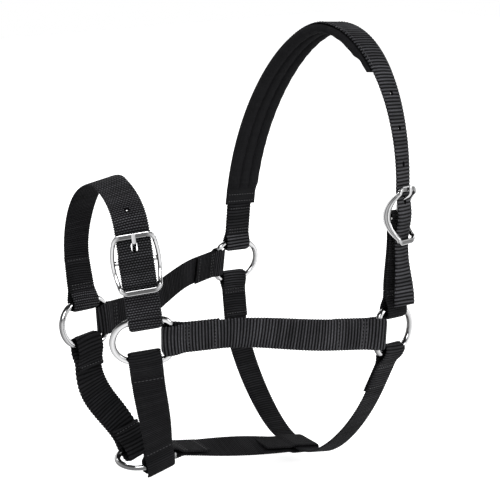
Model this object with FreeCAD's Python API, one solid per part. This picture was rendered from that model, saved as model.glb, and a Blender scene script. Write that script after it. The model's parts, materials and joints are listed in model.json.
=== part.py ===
"""A webbing headcollar for a horse, standing in the shape that it has on a head.

Millimetres. +X runs from the nose to the poll, +Y is the far (right) side and +Z is up. The near
side, with both buckles, is at -Y. The origin is under the headpiece's padding, on the poll.

Five alike metal rings are the corners. Each has three straight bars, which carry a strap each, and
one round side that stays free. Flat webbing joins them: every strap end goes round its bar and is
sewn back on itself. The headpiece and the noseband each end in a punched billet that passes
through a centre-bar buckle, and the buckle hangs on a short doubled chape.
"""

import FreeCAD
import Part
import math
import os

V = FreeCAD.Vector

# Webbing
strap_width = 25.0
strap_thick = 2.2
turn_back = 38.0  # from a bar to the cut end that is sewn down behind the strap
chin_turn_back = 20.0
chin_strap_shift = 1.0  # towards the chin ring's round side
strap_shift = 2.0  # straps on a side ring's top and bottom bars sit this far towards its round side
far_nose_shift = 3.0  # the same on the far nose ring
loop_side_gap = 0.5  # between a bar and the webbing beside it
loop_slack = 2.8  # between a ring's bar and the fold, which lets the ring rock
loop_straight = 2.0  # from the bar's centre to where the two layers start to close
loop_close = 9.0  # from the bar's centre to where the two layers meet
skew_side_gap = 1.2  # the same four where a strap leaves its bar askew
skew_slack = 4.0
skew_straight = 5.0
skew_close = 12.0
fold_corner = 3.6  # how far a fold's corners are drawn in, so that neighbouring folds clear
stations_per_span = 7
join_tolerance = 0.001

# Rings
ring_wire = 5.0
ring_half_height = 17.5  # from the middle of the ring to the centre of each of its three bars
ring_corner_radius = 7.5
ring_round_start = 9.0  # from the middle of the ring to where its round side begins

# Buckles
buckle_bar_height = 4.2  # of the flat bars at both ends
buckle_bar_thick = 2.8
buckle_arm_width = 3.2
buckle_arm_depth = 6.4  # at the centre bar, where the arms are broadest
buckle_inner_gap = 1.1  # between the webbing's edge and an arm's end
buckle_bow = 2.0  # how much further out the arms stand at the centre bar
buckle_half_length = 21.2  # centre bar to the centre of an end bar
buckle_corner_radius = 7.0
buckle_inner_corner = 2.5
buckle_depth = 9.8  # how far the end bars stand out from the centre bar
centre_bar = 3.5
centre_bar_slack = 0.4
billet_lift = 4.7  # inner face of the billet above the centre bar's axis, at the end bars
billet_crown = 2.4  # how much more the billet stands out over the centre bar
tongue_width = 3.2
tongue_thick = 2.0
tongue_eye_gap = 0.15
tongue_hole_at = 12.4  # from the centre bar to the hole in use
tongue_cross = 13.0  # from the centre bar to where the tongue goes through that hole
tongue_slope = 58.0
tongue_low = 1.6  # how far the tongue's root stands out from the centre bar's axis
tongue_rest_gap = 0.3
tongue_tip = 2.6  # how far the tongue reaches past the top bar's centre
tongue_slot_width = 5.2
tongue_slot_back = 5.0  # how far the chape's slot reaches past the centre bar
hole_width = 4.8
hole_stretch = 2.6  # the tongue has drawn its own hole out by this much
hole_pitch = 28.6
nose_holes = 2
crown_holes = 4

# Chapes, from the ring's bar to the buckle's centre bar
nose_chape = 46.6
crown_chape = 76.6
nose_twist = 0.0  # how far a chape turns between its ring and its buckle
crown_twist = -12.0
chape_run = 17.0  # from each of its bars, a chape lies flat this far
tail_short = 4.0  # the billet ends this far above the ring's bar
nose_tail_lift = 5.7  # how far the billet's end stands out from the chape's middle
crown_tail_lift = 8.5

# Main sizes of the head that it fits
rings_apart_along = 191.0  # from the nose rings back to the cheek rings
nose_rings_apart = 86.0  # across the head
cheek_rings_apart = 216.0
poll_above_rings = 225.0  # from the cheek rings' level up to the headpiece
nose_above_rings = 119.0
chin_below_rings = 113.0
throat_below_rings = 153.0

# Where the rings are: middle, turn about Z, lean of the top towards the head, and nose-up pitch
rings_from = -96.0  # the nose rings' mean place along X
near_nose_at = V(rings_from + 1.0, -nose_rings_apart / 2, 8.0)
near_nose_turn = (-26.0, -8.0, 0.0)
far_nose_at = V(rings_from - 2.4, nose_rings_apart / 2, -3.0)
far_nose_turn = (12.0, -10.0, -6.0)
near_cheek_at = V(rings_from + rings_apart_along, -cheek_rings_apart / 2, -9.0)
near_cheek_turn = (10.0, 4.0, -8.0)
far_cheek_at = V(rings_from + rings_apart_along, cheek_rings_apart / 2, -6.0)
far_cheek_turn = (-2.0, 3.0, -5.0)
chin_at = V(rings_from + 24.5, 0.0, -chin_below_rings)
chin_pitch = 0.0

# Chin straps: how far each leaves its bars from square, forwards going up, and how it leans
chin_skew_low = 11.0
chin_skew_high = 6.0
near_chin_rise = 73.0  # angle above level at which a chin strap leaves the chin ring
far_chin_rise = 55.0
near_chin_lean = -4.0  # outward angle of a chin strap where it leaves its nose ring
far_chin_lean = -2.0

# Noseband over the nose
nose_leave_far = 8.0  # outward angle of the noseband where it leaves the far ring
nose_lean_near = -12.0  # outward angle of the chape on the near ring
nose_skew_near = 6.0  # forwards going up
nose_apex = V(rings_from - 1.0, 0.5, nose_above_rings + 1.5)
nose_apex_tilt = 12.0
nose_apex_dip = 20.0  # how steeply it already falls to the near side there
nose_reach_far = 40.0
nose_apex_reach = 19.0
nose_reach_near = 16.0

# Headpiece over the poll
crown_leave_far = 3.0
crown_lean_near = -3.0
crown_apex = V(rings_from + rings_apart_along + 22.0, -6.0, poll_above_rings)
crown_apex_tilt = -4.0
crown_apex_dip = 0.0
crown_reach_far = 95.0
crown_apex_reach = 48.0
crown_reach_near = 66.0

# Padding under the headpiece
pad_width = 31.0
pad_thick = 7.0
pad_end_thick = 2.6
pad_end_band = 11.0  # flat sewn band at each end
pad_end_ramp = 12.0  # where the padding grows to its full thickness
pad_crown = 1.7  # how far each of the three channels bulges past the seams beside it
pad_side_draw = 1.0  # how far the sides bulge
pad_cover_thick = 0.8
pad_core_gap = 0.2
pad_strap_gap = 0.3
pad_start = 0.5  # along the headpiece from its far end on the ring
pad_stop = 294.0
pad_pitch = 14.0  # between the pad's cross-sections

# Throat strap and jaw strap
throat_leave_near = -22.0
throat_leave_far = -18.0
throat_low = V(rings_from + rings_apart_along - 6.0, 0.0, -throat_below_rings)
throat_low_slope = -16.0  # slope of its width at the lowest point, rising to the rear if positive
throat_flat = 13.5  # held straight this far to each side, inside the jaw strap's loop
throat_reach = 36.0
throat_low_reach = 28.0
jaw_loop_gap = 0.5  # between the jaw strap's loop and the throat strap's faces
jaw_loop_side_gap = 1.2  # between the fold and the throat strap's edge
jaw_loop_shut = 5.0  # from the throat strap's front edge to where the jaw strap's layers meet
jaw_turn_back = 34.0
jaw_reach = 30.0


class Frame:
    """An origin with three unit directions: u and v in a plane, n out of the head."""

    def __init__(self, origin, u, v, n, shift=0.0):
        self.origin = origin
        self.u = u
        self.v = v
        self.n = n
        self.shift = shift

    def at(self, u=0.0, v=0.0, n=0.0):
        return self.origin + self.u * u + self.v * v + self.n * n


def unit(vector):
    return vector * (1.0 / vector.Length)


def turned(first, second, degrees):
    """first turned towards second."""
    a = math.radians(degrees)
    return first * math.cos(a) + second * math.sin(a)


def side_ring(middle, turn, side, faces_back, shift=strap_shift):
    """Frame of a ring on the side of the head; u points from its round side to its middle bar."""
    yaw, lean, pitch = turn
    along = turned(V(1, 0, 0), V(0, 1, 0), yaw)
    level_out = unit(V(0, side, 0) - along * (along.y * side))
    up = turned(V(0, 0, 1), level_out, -lean)
    out = turned(level_out, V(0, 0, 1), lean)
    along, up = turned(along, up, pitch), turned(up, along, -pitch)
    return Frame(middle, along if faces_back else -along, up, out, shift)


def bar_of(ring, bar):
    """Where a strap's middle sits on a bar, and the way it runs from it in the ring's own plane."""
    if bar == "middle":
        return ring.at(u=ring_half_height), ring.u
    side = 1 if bar == "top" else -1
    return ring.at(u=-ring.shift, v=side * ring_half_height), ring.v * side


def strap_end(ring, bar, leave=None, aim=None, skew=0.0):
    """Frame of a strap end on a bar: u along the strap, v along the bar, n out of the head."""
    centre, run = bar_of(ring, bar)
    if aim is not None:
        towards = aim - centre
        leave = math.degrees(math.atan2(towards.dot(ring.n), towards.dot(run)))
    u = turned(run, ring.n, leave)
    n = turned(ring.n, run, -leave)
    v = n.cross(u)
    return Frame(centre, turned(u, v, skew), turned(v, u, -skew), n)


class Knot:
    """A point that a strap's inner face passes, with its direction and its outward normal."""

    def __init__(self, point, tangent, normal, reach_in=0.0, reach_out=0.0):
        self.point = point
        self.tangent = unit(tangent)
        self.width = unit(normal.cross(self.tangent))
        self.reach_in = reach_in
        self.reach_out = reach_out


class Station:
    """One cross-section of a strap."""

    def __init__(self, point, tangent, width):
        self.point = point
        self.u = unit(tangent)
        self.v = unit(width - self.u * width.dot(self.u))
        self.n = self.u.cross(self.v)

    def at(self, v=0.0, n=0.0):
        return self.point + self.v * v + self.n * n


def span(a, b, count=stations_per_span):
    """Cross-sections along the cubic curve between two knots."""
    p1 = a.point + a.tangent * a.reach_out
    p2 = b.point - b.tangent * b.reach_in
    found = []
    for i in range(count + 1):
        q = i / count
        r = 1 - q
        place = a.point * r**3 + p1 * (3 * q * r * r) + p2 * (3 * q * q * r) + b.point * q**3
        ahead = (p1 - a.point) * (r * r) + (p2 - p1) * (2 * q * r) + (b.point - p2) * (q * q)
        ease = q * q * (3 - 2 * q)
        found.append(Station(place, ahead, a.width * (1 - ease) + b.width * ease))
    return found


def stations(knots, count):
    """Cross-sections along the curves from the first knot to the last."""
    found = []
    for a, b in zip(knots, knots[1:]):
        found = found[:-1] + span(a, b, count)
    return found


def ribbon(knots, low=0.0):
    """Flat webbing from knot to knot, from low under their points to its outer face."""
    half = strap_width / 2
    corners = [(-half, low), (half, low), (half, strap_thick), (-half, strap_thick), (-half, low)]
    lofts = []
    for a, b in zip(knots, knots[1:]):
        wires = [Part.makePolygon([s.at(v, n) for v, n in corners]) for s in span(a, b)]
        lofts.append(Part.makeLoft(wires, True, False))
    return lofts


class Tunnel:
    """The opening that a strap's fold leaves for a bar, measured from the bar's centre."""

    def __init__(self, half_height, fold, straight, close):
        self.half_height = half_height
        self.fold = fold
        self.straight = straight
        self.close = close


def bar_tunnel(bar, slack):
    return Tunnel(bar / 2 + loop_side_gap, bar / 2 + slack, loop_straight, loop_close)


def end_loop(end, tunnel, run, width=strap_width):
    """Webbing folded round a bar and sewn back on itself as far as run, with drawn-in corners."""
    h = tunnel.half_height
    t = strap_thick
    middle = tunnel.fold - h
    corner = t * math.tan(math.atan2(h, tunnel.close - tunnel.straight) / 2)

    def place(u, n):
        return end.at(u=u, v=-width / 2, n=n)

    def outline(r, start, shut):
        arc = Part.Arc(place(-middle, r), place(-middle - r, 0), place(-middle, -r)).toShape()
        lower = [place(-middle, -r), place(start, -r)] + [place(u, -n) for u, n in shut]
        upper = [place(u, n) for u, n in reversed(shut)] + [place(start, r), place(-middle, r)]
        sides = Part.makePolygon(lower + [p for p in upper if p.distanceToPoint(lower[-1]) > 0.001])
        return Part.Face(Part.Wire([arc] + sides.Edges))

    outer = outline(h + t, tunnel.straight + corner, [(tunnel.close + corner, t), (run, t)])
    inner = outline(h, tunnel.straight, [(tunnel.close, 0)])
    loop = outer.cut(inner).Faces[0].extrude(end.v * width)
    tip = -tunnel.fold - t
    for side in (1, -1):
        edge = side * width / 2
        inset = side * (width / 2 - fold_corner)
        trim = [(tip - 1, inset), (tip, inset), (tip + fold_corner, edge), (tip + fold_corner, edge + side)]
        trim += [(tip - 1, edge + side), (tip - 1, inset)]
        outline_trim = Part.makePolygon([end.at(u, v, -h - t - 1) for u, v in trim])
        loop = loop.cut(Part.Face(outline_trim).extrude(end.n * (2 * (h + t + 1))))
    return loop


def fused(shapes):
    """One solid from pieces that meet face to face."""
    return shapes[0].fuse(shapes[1:], join_tolerance).removeSplitter()


def end_knot(end, run, reach, leaving):
    """The knot where a strap's sewn end becomes its free run."""
    tangent = end.u if leaving else -end.u
    return Knot(end.at(u=run), tangent, end.n, reach, reach)


def sewn_strap(start, finish, back=turn_back, between=(), reach=None, tunnel=None):
    """A strap looped and sewn on a ring's bar at both ends."""
    tunnel = tunnel or bar_tunnel(ring_wire, loop_slack)
    if reach is None:
        reach = (finish.at(u=back) - start.at(u=back)).Length / 3
    knots = [end_knot(start, back, reach, True), *between, end_knot(finish, back, reach, False)]
    return fused(ribbon(knots) + [end_loop(e, tunnel, back) for e in (start, finish)])


def cheek_strap_solid(nose, cheek):
    start = strap_end(nose, "middle", aim=bar_of(cheek, "middle")[0])
    finish = strap_end(cheek, "middle", aim=bar_of(nose, "middle")[0])
    return sewn_strap(start, finish)


def chin_strap_solid(chin, bar, nose, rise, lean, side):
    """A chin strap from the chin ring up to a nose ring; side is -1 on the near side, 1 on the far."""
    start = strap_end(chin, bar, -rise, None, -side * chin_skew_low)
    finish = strap_end(nose, "bottom", lean, None, -side * chin_skew_high)
    bar = ring_wire / 2
    tunnel = Tunnel(bar + skew_side_gap, bar + skew_slack, skew_straight, skew_close)
    return sewn_strap(start, finish, chin_turn_back, tunnel=tunnel)


def bar_between(a, b, diameter):
    return Part.makeCylinder(diameter / 2, (b - a).Length, a, b - a)


def bend(centre, start, towards, degrees, radius, diameter):
    """Part of a round bar that curves about centre, from the direction start towards another."""
    axis = start.cross(towards)
    disc = Part.Face(Part.Wire(Part.makeCircle(diameter / 2, centre + start * radius, towards)))
    return disc.revolve(centre, axis, degrees)


def ring_solid(ring):
    """A ring of round wire: three straight bars, two corners and a round side."""
    h = ring_half_height
    c = ring_corner_radius
    u, v = ring.u, ring.v
    pieces = [bar_between(ring.at(h, c - h), ring.at(h, h - c), ring_wire)]
    for side in (1, -1):
        pieces.append(bend(ring.at(h - c, side * (h - c)), u, v * side, 90, c, ring_wire))
        pieces.append(bar_between(ring.at(h - c, side * h), ring.at(-ring_round_start, side * h), ring_wire))
    pieces.append(bend(ring.at(-ring_round_start), v, -u, 180, h, ring_wire))
    return fused(pieces)


def buckle_outline(b, length, width, bow, corner):
    """A rounded outline in the buckle's plane, with sides that bow out by bow."""
    def place(u, v):
        return b.at(u, v)

    near = corner * (1 - math.sqrt(0.5))
    edges = []
    for end in (1, -1):
        a, c = end * (length - corner), end * length
        edges.append(Part.makeLine(place(c, end * (corner - width)), place(c, end * (width - corner))))
        for side in (1, -1):
            foot = place(c, side * (width - corner))
            elbow = place(end * (length - near), side * (width - near))
            edges.append(Part.Arc(foot, elbow, place(a, side * width)).toShape())
        edges.append(Part.Arc(place(a, end * width), place(0, end * (width + bow)), place(-a, end * width)).toShape())
    return Part.Face(Part.Wire(Part.__sortEdges__(edges)))


def buckle_solid(b):
    """A cast buckle: flat end bars in front of the strap, broad bowed arms, and a centre bar."""
    width = strap_width / 2 + buckle_inner_gap + buckle_arm_width
    half = buckle_bar_height / 2
    inner = buckle_outline(
        b, buckle_half_length - half, width - buckle_arm_width, buckle_bow, buckle_inner_corner
    )
    outer = buckle_outline(b, buckle_half_length + half, width, buckle_bow, buckle_corner_radius)
    tall = 2 * buckle_depth
    front = outer.cut(inner).extrude(b.n * (2 * tall))
    front.translate(b.n * -tall)
    wide = width + buckle_bow + 1

    def place(u, n):
        return b.at(u, -wide, n)

    end, flat = buckle_half_length + half, buckle_half_length - half - buckle_inner_corner
    low, high = buckle_depth - buckle_bar_thick / 2, buckle_depth + buckle_bar_thick / 2
    deep = buckle_arm_depth / 2
    edges = [
        Part.Arc(place(flat, low), place(0, -deep), place(-flat, low)).toShape(),
        Part.makePolygon([place(-flat, low), place(-end, low), place(-end, high), place(-flat, high)]),
        Part.Arc(place(-flat, high), place(0, deep), place(flat, high)).toShape(),
        Part.makePolygon([place(flat, high), place(end, high), place(end, low), place(flat, low)]),
    ]
    side = Part.Face(Part.Wire(edges)).extrude(b.v * (2 * wide))
    reach = width + buckle_bow - buckle_arm_width / 2
    return fused([front.common(side), bar_between(b.at(0, -reach), b.at(0, reach), centre_bar)])


def tongue_solid(b):
    """A flat tongue: an eye round the centre bar, a step up through the hole, a tip on the bar."""
    r = centre_bar / 2 + tongue_eye_gap
    t = tongue_thick
    top = buckle_depth + buckle_bar_thick / 2 + tongue_rest_gap + t / 2
    slope = math.tan(math.radians(tongue_slope))
    cross = billet_lift + billet_crown / 2 + strap_thick / 2
    foot = tongue_cross - (cross - tongue_low) / slope
    head = tongue_cross + (top - cross) / slope
    shift = t / 2 * math.tan(math.radians(tongue_slope / 2))
    root = r + t / 2
    tip = buckle_half_length + tongue_tip
    under = [(root, -t / 2), (foot + shift, -t / 2), (head + shift, -t / 2), (tip, -t / 2)]
    over = [(tip, t / 2), (head - shift, t / 2), (foot - shift, t / 2), (root, t / 2)]
    levels = [tongue_low, tongue_low, top, top]
    points = [(u, n + level) for (u, n), level in zip(under, levels)]
    points += [(u, n + level) for (u, n), level in zip(over, reversed(levels))]
    half = tongue_width / 2
    side = Part.makePolygon([b.at(u, -half, n) for u, n in points + points[:1]])
    blade = Part.Face(side).extrude(b.v * tongue_width)
    rings = [Part.Wire(Part.makeCircle(radius, b.at(v=-half), b.v)) for radius in (r + t, r)]
    eye = Part.Face(rings[0]).cut(Part.Face(rings[1])).extrude(b.v * tongue_width)
    hollow = Part.Face(rings[1]).extrude(b.v * tongue_width)
    return fused([blade.cut(hollow), eye])


def chape_solid(end, b):
    """The short doubled strap that carries a buckle, with a slot for the tongue."""
    back = Frame(b.origin, -b.u, -b.v, b.n)
    reach = ((b.origin - end.origin).Length - 2 * chape_run) / 3
    knots = [end_knot(end, chape_run, reach, True), end_knot(back, chape_run, reach, False)]
    pieces = ribbon(knots, -strap_thick)
    pieces.append(end_loop(end, bar_tunnel(ring_wire, loop_slack), chape_run))
    pieces.append(end_loop(back, bar_tunnel(centre_bar, centre_bar_slack), chape_run))
    half = tongue_slot_width / 2
    deep = loop_close
    corners = [(-tongue_slot_back, -half), (deep, -half), (deep, half), (-tongue_slot_back, half)]
    sides = Part.makePolygon([b.at(u, v, -deep) for u, v in corners + corners[:1]])
    return fused(pieces).cut(Part.Face(sides).extrude(b.n * (2 * deep)))


def billet_knots(b, chape, end_lift):
    """Knots of a billet: in behind the top bar, over the centre bar, out behind the last bar."""
    far = buckle_half_length
    end_at = chape - tail_short
    places = [(far, billet_lift), (0.0, billet_lift + billet_crown), (-far, billet_lift), (-end_at, end_lift)]
    steps = [a[0] - c[0] for a, c in zip(places, places[1:])]
    reach_out = [step / 3 for step in steps] + [0.0]
    reach_in = [0.0] + [step / 3 for step in steps]
    return [
        Knot(b.at(u=u, n=n), -b.u, b.n, before, after)
        for (u, n), before, after in zip(places, reach_in, reach_out)
    ]


def along(sections, distance):
    """The cross-section at a distance along a strap."""
    for a, b in zip(sections, sections[1:]):
        step = (b.point - a.point).Length
        if distance <= step:
            q = distance / step
            return Station(a.point * (1 - q) + b.point * q, a.u * (1 - q) + b.u * q, a.v * (1 - q) + b.v * q)
        distance -= step
    return sections[-1]


def length_of(sections):
    return sum((b.point - a.point).Length for a, b in zip(sections, sections[1:]))


def hole_cutter(s, stretch):
    """A round punch through a strap at a cross-section, drawn out along the strap."""
    r = hole_width / 2
    depth = 3 * strap_thick
    ends = [s.at(n=-strap_thick) + s.u * (side * stretch / 2) for side in (1, -1)]
    cutter = Part.makeCylinder(r, depth, ends[0], s.n)
    if stretch > 0:
        corners = [ends[0] + s.v * r, ends[1] + s.v * r, ends[1] - s.v * r, ends[0] - s.v * r]
        middle = Part.Face(Part.makePolygon(corners + corners[:1])).extrude(s.n * depth)
        cutter = cutter.fuse([Part.makeCylinder(r, depth, ends[1], s.n), middle])
    return cutter


def billet_strap(start, reach, apex, billet, chape, holes):
    """A strap sewn on a ring at one end, with a punched billet in a buckle at the other."""
    knots = [end_knot(start, turn_back, reach, True), apex] + billet
    strap = fused(ribbon(knots) + [end_loop(start, bar_tunnel(ring_wire, loop_slack), turn_back)])
    fine = stations(knots, 3 * stations_per_span)
    in_use = length_of(fine) - (chape - tail_short) - tongue_hole_at
    for i in range(holes):
        place = along(fine, in_use - i * hole_pitch)
        strap = strap.cut(hole_cutter(place, 0.0 if i else hole_stretch))
    return strap


def buckle_frame(end, chape, twist):
    return Frame(end.at(u=chape), end.u, turned(end.v, end.n, -twist), turned(end.n, end.v, twist))


def arch_knot(point, tilt, dip, reach):
    """The knot where a strap crosses the middle of the head, going from the far to the near side."""
    width = turned(V(1, 0, 0), V(0, 0, 1), tilt)
    ahead = turned(V(0, -1, 0), V(0, 0, -1), dip)
    return Knot(point, ahead, ahead.cross(width), reach, reach)


def pad_outline(s, thick, inset):
    """A cross-section of the padding: flat against the strap, with three crowned channels."""
    half = pad_width / 2 - inset
    top = -pad_strap_gap - inset
    low = -pad_strap_gap - thick + inset
    full = (thick - pad_end_thick) / (pad_thick - pad_end_thick)
    crown = pad_crown * full
    seams = [half * k for k in (1.0, 1 / 3, -1 / 3, -1.0)]
    edges = [Part.makeLine(s.at(-half, top), s.at(half, top))]
    middle = (top + low + crown) / 2
    bulge = half + pad_side_draw
    edges.append(Part.Arc(s.at(half, top), s.at(bulge, middle), s.at(half, low + crown)).toShape())
    for a, c in zip(seams, seams[1:]):
        crest = s.at((a + c) / 2, low - 0.02)
        edges.append(Part.Arc(s.at(a, low + crown), crest, s.at(c, low + crown)).toShape())
    edges.append(Part.Arc(s.at(-half, low + crown), s.at(-bulge, middle), s.at(-half, top)).toShape())
    return Part.Wire(edges)


def pad_solid(fine, start, stop, inset):
    """The padding between two distances along the headpiece, with everything drawn in by inset."""
    count = max(2, round((stop - start) / pad_pitch))
    ramp = [0.0, 0.5, 1.0]
    places = [start + (stop - start) * i / count for i in range(count + 1)]
    grown = [pad_end_band + pad_end_ramp * k for k in ramp]
    low, high = pad_start + grown[-1] + 4, pad_stop - grown[-1] - 4
    places = [p for p in places if low < p < high]
    places += [pad_start + g for g in grown if pad_start + g > start]
    places += [pad_stop - g for g in grown if pad_stop - g < stop]
    places = sorted(places + [start, stop])
    wires = []
    for place in places:
        edge = min(place - pad_start, pad_stop - place)
        q = min(1.0, max(0.0, (edge - pad_end_band) / pad_end_ramp))
        thick = pad_end_thick + (pad_thick - pad_end_thick) * q * q * (3 - 2 * q)
        wires.append(pad_outline(along(fine, place), thick, inset))
    return Part.makeLoft(wires, True, True)


def throat_strap_solid(near, far):
    """The throat strap, held flat at its lowest point by the jaw strap's loop."""
    slope = turned(V(1, 0, 0), V(0, 0, 1), throat_low_slope)
    down = slope.cross(V(0, 1, 0)) * -1
    side = V(0, throat_flat, 0)
    third = throat_flat * 2 / 3
    inner = throat_low - down * (strap_thick / 2)
    knots = [
        Knot(inner - side, V(0, 1, 0), down, throat_low_reach, third),
        Knot(inner + side, V(0, 1, 0), down, third, throat_low_reach),
    ]
    return sewn_strap(near, far, turn_back, knots, throat_reach)


def jaw_strap_solid(chin):
    """The jaw strap: sewn on the chin ring in front, and round the throat strap behind."""
    slope = turned(V(1, 0, 0), V(0, 0, 1), throat_low_slope)
    down = slope.cross(V(0, 1, 0)) * -1
    rear = Frame(throat_low, -slope, down.cross(-slope), down)
    front = strap_end(chin, "middle", aim=rear.at(u=strap_width))
    half = strap_width / 2
    wrap = Tunnel(
        strap_thick / 2 + jaw_loop_gap, half + jaw_loop_side_gap, half + jaw_loop_gap, half + jaw_loop_shut
    )
    knots = [
        end_knot(front, turn_back, jaw_reach, True),
        end_knot(rear, half + jaw_turn_back, jaw_reach, False),
    ]
    ends = [
        end_loop(front, bar_tunnel(ring_wire, loop_slack), turn_back),
        end_loop(rear, wrap, half + jaw_turn_back),
    ]
    return fused(ribbon(knots) + ends)


def chin_frame():
    u = turned(V(1, 0, 0), V(0, 0, 1), chin_pitch)
    v = V(0, -1, 0)
    return Frame(chin_at, u, v, u.cross(v), chin_strap_shift)


def make_parts():
    near_nose = side_ring(near_nose_at, near_nose_turn, -1, True)
    far_nose = side_ring(far_nose_at, far_nose_turn, 1, True, far_nose_shift)
    near_cheek = side_ring(near_cheek_at, near_cheek_turn, -1, False)
    far_cheek = side_ring(far_cheek_at, far_cheek_turn, 1, False)
    chin = chin_frame()
    shapes = {
        "near_nose_ring": ring_solid(near_nose),
        "far_nose_ring": ring_solid(far_nose),
        "near_cheek_ring": ring_solid(near_cheek),
        "far_cheek_ring": ring_solid(far_cheek),
        "chin_ring": ring_solid(chin),
    }
    shapes["near_cheek_strap"] = cheek_strap_solid(near_nose, near_cheek)
    shapes["far_cheek_strap"] = cheek_strap_solid(far_nose, far_cheek)
    shapes["near_chin_strap"] = chin_strap_solid(
        chin, "top", near_nose, near_chin_rise, near_chin_lean, -1
    )
    shapes["far_chin_strap"] = chin_strap_solid(
        chin, "bottom", far_nose, far_chin_rise, far_chin_lean, 1
    )
    near_throat = strap_end(near_cheek, "bottom", throat_leave_near)
    far_throat = strap_end(far_cheek, "bottom", throat_leave_far)
    shapes["throat_strap"] = throat_strap_solid(near_throat, far_throat)
    shapes["jaw_strap"] = jaw_strap_solid(chin)

    nose_near = strap_end(near_nose, "top", nose_lean_near, None, nose_skew_near)
    nose_far = strap_end(far_nose, "top", nose_leave_far)
    nose_buckle = buckle_frame(nose_near, nose_chape, nose_twist)
    shapes["nose_chape"] = chape_solid(nose_near, nose_buckle)
    shapes["nose_buckle"] = buckle_solid(nose_buckle)
    shapes["nose_tongue"] = tongue_solid(nose_buckle)
    apex = arch_knot(nose_apex, nose_apex_tilt, nose_apex_dip, nose_apex_reach)
    billet = billet_knots(nose_buckle, nose_chape, nose_tail_lift)
    billet[0].reach_in = nose_reach_near
    shapes["nose_strap"] = billet_strap(nose_far, nose_reach_far, apex, billet, nose_chape, nose_holes)

    crown_near = strap_end(near_cheek, "top", crown_lean_near)
    crown_far = strap_end(far_cheek, "top", crown_leave_far)
    crown_buckle = buckle_frame(crown_near, crown_chape, crown_twist)
    shapes["crown_chape"] = chape_solid(crown_near, crown_buckle)
    shapes["crown_buckle"] = buckle_solid(crown_buckle)
    shapes["crown_tongue"] = tongue_solid(crown_buckle)
    apex = arch_knot(crown_apex, crown_apex_tilt, crown_apex_dip, crown_apex_reach)
    billet = billet_knots(crown_buckle, crown_chape, crown_tail_lift)
    billet[0].reach_in = crown_reach_near
    shapes["crown_strap"] = billet_strap(
        crown_far, crown_reach_far, apex, billet, crown_chape, crown_holes
    )
    arch = [end_knot(crown_far, turn_back, crown_reach_far, True), apex, billet[0]]
    fine = stations(arch, 6 * stations_per_span)
    band = pad_end_band + pad_end_ramp / 4
    cavity = pad_solid(fine, pad_start + band, pad_stop - band, pad_cover_thick)
    shapes["crown_pad_cover"] = pad_solid(fine, pad_start, pad_stop, 0.0).cut(cavity)
    band += pad_core_gap
    shapes["crown_pad_foam"] = pad_solid(
        fine, pad_start + band, pad_stop - band, pad_cover_thick + pad_core_gap
    )
    poll_seat = crown_apex - V(0, 0, pad_strap_gap + pad_thick)
    for shape in shapes.values():
        shape.translate(-poll_seat)
    return shapes


if __name__ == "__main__":
    os.makedirs("parts", exist_ok=True)
    for name, shape in make_parts().items():
        shape.exportStep(os.path.join("parts", name + ".step"))
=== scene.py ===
"""Looks of the webbing headcollar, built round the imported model.
Lengths are in millimetres until a mesh is made.
"""
import json
import math
import bmesh
import bpy
import numpy as np
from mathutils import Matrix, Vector

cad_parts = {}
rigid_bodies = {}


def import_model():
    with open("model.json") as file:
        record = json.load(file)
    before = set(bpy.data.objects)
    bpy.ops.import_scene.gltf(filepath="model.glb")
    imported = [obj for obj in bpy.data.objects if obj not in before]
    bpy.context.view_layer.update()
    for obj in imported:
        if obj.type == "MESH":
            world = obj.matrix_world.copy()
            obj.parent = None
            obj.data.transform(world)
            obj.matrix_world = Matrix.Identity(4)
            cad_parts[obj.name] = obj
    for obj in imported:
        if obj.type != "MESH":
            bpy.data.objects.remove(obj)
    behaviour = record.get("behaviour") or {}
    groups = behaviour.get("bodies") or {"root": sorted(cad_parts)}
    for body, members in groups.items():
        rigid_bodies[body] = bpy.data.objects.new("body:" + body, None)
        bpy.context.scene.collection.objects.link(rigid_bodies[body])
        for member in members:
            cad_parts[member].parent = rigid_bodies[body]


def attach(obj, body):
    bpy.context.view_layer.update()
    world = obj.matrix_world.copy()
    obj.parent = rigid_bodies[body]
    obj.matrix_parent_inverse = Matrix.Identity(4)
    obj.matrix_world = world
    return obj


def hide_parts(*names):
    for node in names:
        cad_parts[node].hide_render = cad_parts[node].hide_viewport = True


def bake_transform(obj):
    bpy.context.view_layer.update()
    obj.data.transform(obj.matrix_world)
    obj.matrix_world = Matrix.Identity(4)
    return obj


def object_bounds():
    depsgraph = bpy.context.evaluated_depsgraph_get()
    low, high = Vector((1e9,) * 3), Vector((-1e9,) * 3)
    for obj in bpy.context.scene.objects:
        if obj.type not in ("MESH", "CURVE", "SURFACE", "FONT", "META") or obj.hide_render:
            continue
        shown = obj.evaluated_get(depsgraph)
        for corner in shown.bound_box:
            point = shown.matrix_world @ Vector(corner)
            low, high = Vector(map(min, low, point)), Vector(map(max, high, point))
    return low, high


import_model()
cad_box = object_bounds()

# The same values as in the part's source
STRAP_WIDTH = 25.0
STRAP_THICK = 2.2
TURN_BACK = 38.0
CHIN_TURN_BACK = 20.0
CHIN_SHIFT = 1.0
STRAP_SHIFT = 2.0
FAR_NOSE_SHIFT = 3.0
SIDE_GAP = 0.5
SLACK = 2.8
STRAIGHT = 2.0
CLOSE = 9.0
SKEW_SIDE_GAP = 1.2
SKEW_SLACK = 4.0
SKEW_STRAIGHT = 5.0
SKEW_CLOSE = 12.0
FOLD_CORNER = 3.6
WIRE = 5.0
RING_H = 17.5
RING_C = 7.5
RING_ROUND = 9.0
BAR = 3.5
BAR_SLACK = 0.4
BUCKLE_BAR_HEIGHT = 4.2
BUCKLE_BAR_THICK = 2.8
BUCKLE_ARM_WIDTH = 3.2
BUCKLE_ARM_DEPTH = 6.4
BUCKLE_GAP = 1.1
BUCKLE_BOW = 2.0
BUCKLE_CORNER = 7.0
HALF_LENGTH = 21.2
DEPTH = 9.8
BILLET_LIFT = 4.7
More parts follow.
